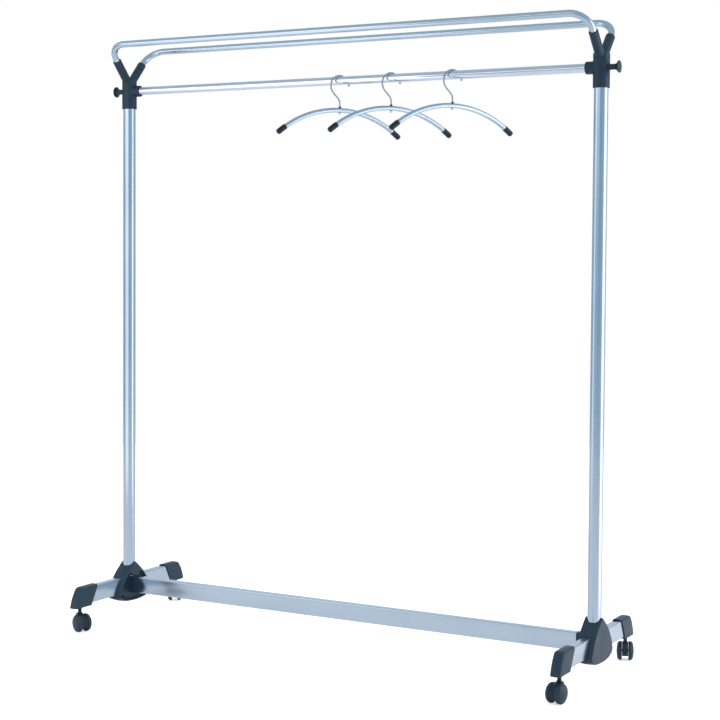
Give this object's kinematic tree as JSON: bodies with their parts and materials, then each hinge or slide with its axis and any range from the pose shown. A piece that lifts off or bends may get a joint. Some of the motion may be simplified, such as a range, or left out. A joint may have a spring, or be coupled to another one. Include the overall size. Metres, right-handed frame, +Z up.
{
  "type": "rolling garment stand",
  "caption": "Wheeled valet stand: tubular frame with hat rails, chrome hanging bar, coat pegs, swivel twin-wheel casters and arched hangers that slide and swivel.",
  "frame": {"origin": "on the floor under the middle of the hanging bar, midway between the posts", "axes": "+X along the hanging bar to the right, +Y to the back, +Z up"},
  "size_m": [1.5004, 0.5191, 1.6132],
  "materials": {
    "silver_paint": "satin silver powder coat",
    "hanger_paint": "satin silver-blue paint",
    "bar_chrome": "polished chrome plate",
    "plain_steel": "zinc-plated",
    "caster_steel": "bright zinc",
    "hook_wire": "plated wire",
    "charcoal_plastic": "fine moulded grain",
    "caster_plastic": "smooth moulded",
    "wheel_nylon": "smooth hard nylon",
    "tip_plastic": "smooth moulded"
  },
  "bodies": {
    "frame": {"post_left": "silver_paint", "post_right": "silver_paint", "post_spigots": "plain_steel", "leg_tube_left": "silver_paint", "leg_tube_right": "silver_paint", "base_beam": "silver_paint", "beam_end_piece_left": "charcoal_plastic", "beam_end_piece_right": "charcoal_plastic", "beam_bolts": "plain_steel", "hub_outer_cover_left": "charcoal_plastic", "hub_inner_cover_left": "charcoal_plastic", "hub_outer_cover_right": "charcoal_plastic", "hub_inner_cover_right": "charcoal_plastic", "hub_screws": "plain_steel", "leg_end_cap_fl": "charcoal_plastic", "leg_end_cap_fr": "charcoal_plastic", "leg_end_cap_bl": "charcoal_plastic", "leg_end_cap_br": "charcoal_plastic", "caster_sockets": "charcoal_plastic", "caster_stems": "caster_steel", "top_connector_left": "charcoal_plastic", "top_connector_right": "charcoal_plastic", "upper_rail_front": "silver_paint", "upper_rail_back": "silver_paint", "hanging_bar": "bar_chrome", "bar_end_plugs": "plain_steel", "peg_studs": "plain_steel", "coat_peg_left": "charcoal_plastic", "coat_peg_right": "charcoal_plastic"},
    "caster_fl": {"caster_hood_fl": "caster_plastic", "caster_axle_fl": "caster_steel"},
    "wheel_fl_a": {"caster_wheel_fl_a": "wheel_nylon"},
    "wheel_fl_b": {"caster_wheel_fl_b": "wheel_nylon"},
    "caster_fr": {"caster_hood_fr": "caster_plastic", "caster_axle_fr": "caster_steel"},
    "wheel_fr_a": {"caster_wheel_fr_a": "wheel_nylon"},
    "wheel_fr_b": {"caster_wheel_fr_b": "wheel_nylon"},
    "caster_bl": {"caster_hood_bl": "caster_plastic", "caster_axle_bl": "caster_steel"},
    "wheel_bl_a": {"caster_wheel_bl_a": "wheel_nylon"},
    "wheel_bl_b": {"caster_wheel_bl_b": "wheel_nylon"},
    "caster_br": {"caster_hood_br": "caster_plastic", "caster_axle_br": "caster_steel"},
    "wheel_br_a": {"caster_wheel_br_a": "wheel_nylon"},
    "wheel_br_b": {"caster_wheel_br_b": "wheel_nylon"},
    "hook_1": {"hanger_1_hook": "hook_wire", "hanger_1_nut": "hook_wire"},
    "arch_1": {"hanger_1_arch": "hanger_paint", "hanger_1_tips": "tip_plastic", "hanger_1_ferrule": "hook_wire"},
    "hook_2": {"hanger_2_hook": "hook_wire", "hanger_2_nut": "hook_wire"},
    "arch_2": {"hanger_2_arch": "hanger_paint", "hanger_2_tips": "tip_plastic", "hanger_2_ferrule": "hook_wire"},
    "hook_3": {"hanger_3_hook": "hook_wire", "hanger_3_nut": "hook_wire"},
    "arch_3": {"hanger_3_arch": "hanger_paint", "hanger_3_tips": "tip_plastic", "hanger_3_ferrule": "hook_wire"}
  },
  "joints": [
    {"name": "caster_fl_swivel", "type": "hinge", "parent": "frame", "child": "caster_fl", "pos_m": [-0.703, -0.221, 0.05], "axis": [0, 0, 1], "continuous": true},
    {"name": "wheel_fl_a_spin", "type": "hinge", "parent": "caster_fl", "child": "wheel_fl_a", "pos_m": [-0.69147, -0.22582, 0.024], "axis": [0.3859, 0.9225, 0], "continuous": true},
    {"name": "wheel_fl_b_spin", "type": "hinge", "parent": "caster_fl", "child": "wheel_fl_b", "pos_m": [-0.69147, -0.22582, 0.024], "axis": [0.3859, 0.9225, 0], "continuous": true},
    {"name": "caster_fr_swivel", "type": "hinge", "parent": "frame", "child": "caster_fr", "pos_m": [0.703, -0.221, 0.05], "axis": [0, 0, 1], "continuous": true},
    {"name": "wheel_fr_a_spin", "type": "hinge", "parent": "caster_fr", "child": "wheel_fr_a", "pos_m": [0.70141, -0.2334, 0.024], "axis": [0.9919, -0.1271, 0], "continuous": true},
    {"name": "wheel_fr_b_spin", "type": "hinge", "parent": "caster_fr", "child": "wheel_fr_b", "pos_m": [0.70141, -0.2334, 0.024], "axis": [0.9919, -0.1271, 0], "continuous": true},
    {"name": "caster_bl_swivel", "type": "hinge", "parent": "frame", "child": "caster_bl", "pos_m": [-0.703, 0.221, 0.05], "axis": [0, 0, 1], "continuous": true},
    {"name": "wheel_bl_a_spin", "type": "hinge", "parent": "caster_bl", "child": "wheel_bl_a", "pos_m": [-0.71029, 0.23115, 0.024], "axis": [-0.8121, -0.5835, 0], "continuous": true},
    {"name": "wheel_bl_b_spin", "type": "hinge", "parent": "caster_bl", "child": "wheel_bl_b", "pos_m": [-0.71029, 0.23115, 0.024], "axis": [-0.8121, -0.5835, 0], "continuous": true},
    {"name": "caster_br_swivel", "type": "hinge", "parent": "frame", "child": "caster_br", "pos_m": [0.703, 0.221, 0.05], "axis": [0, 0, 1], "continuous": true},
    {"name": "wheel_br_a_spin", "type": "hinge", "parent": "caster_br", "child": "wheel_br_a", "pos_m": [0.69877, 0.23276, 0.024], "axis": [-0.9409, -0.3387, 0], "continuous": true},
    {"name": "wheel_br_b_spin", "type": "hinge", "parent": "caster_br", "child": "wheel_br_b", "pos_m": [0.69877, 0.23276, 0.024], "axis": [-0.9409, -0.3387, 0], "continuous": true},
    {"name": "hanger_1_slide", "type": "slide", "parent": "frame", "child": "hook_1", "axis": [1, 0, 0], "range_m": [-0.56, 0.08]},
    {"name": "hanger_1_swivel", "type": "hinge", "parent": "hook_1", "child": "arch_1", "pos_m": [-0.02, 0, 1.4085], "axis": [0, 0, 1], "range_deg": [-30, 30]},
    {"name": "hanger_2_slide", "type": "slide", "parent": "frame", "child": "hook_2", "axis": [1, 0, 0], "range_m": [-0.08, 0.1]},
    {"name": "hanger_2_swivel", "type": "hinge", "parent": "hook_2", "child": "arch_2", "pos_m": [0.132, 0, 1.4085], "axis": [0, 0, 1], "range_deg": [-30, 30]},
    {"name": "hanger_3_slide", "type": "slide", "parent": "frame", "child": "hook_3", "axis": [1, 0, 0], "range_m": [-0.1, 0.27]},
    {"name": "hanger_3_swivel", "type": "hinge", "parent": "hook_3", "child": "arch_3", "pos_m": [0.307, 0, 1.4085], "axis": [0, 0, 1], "range_deg": [-30, 30]}
  ]
}
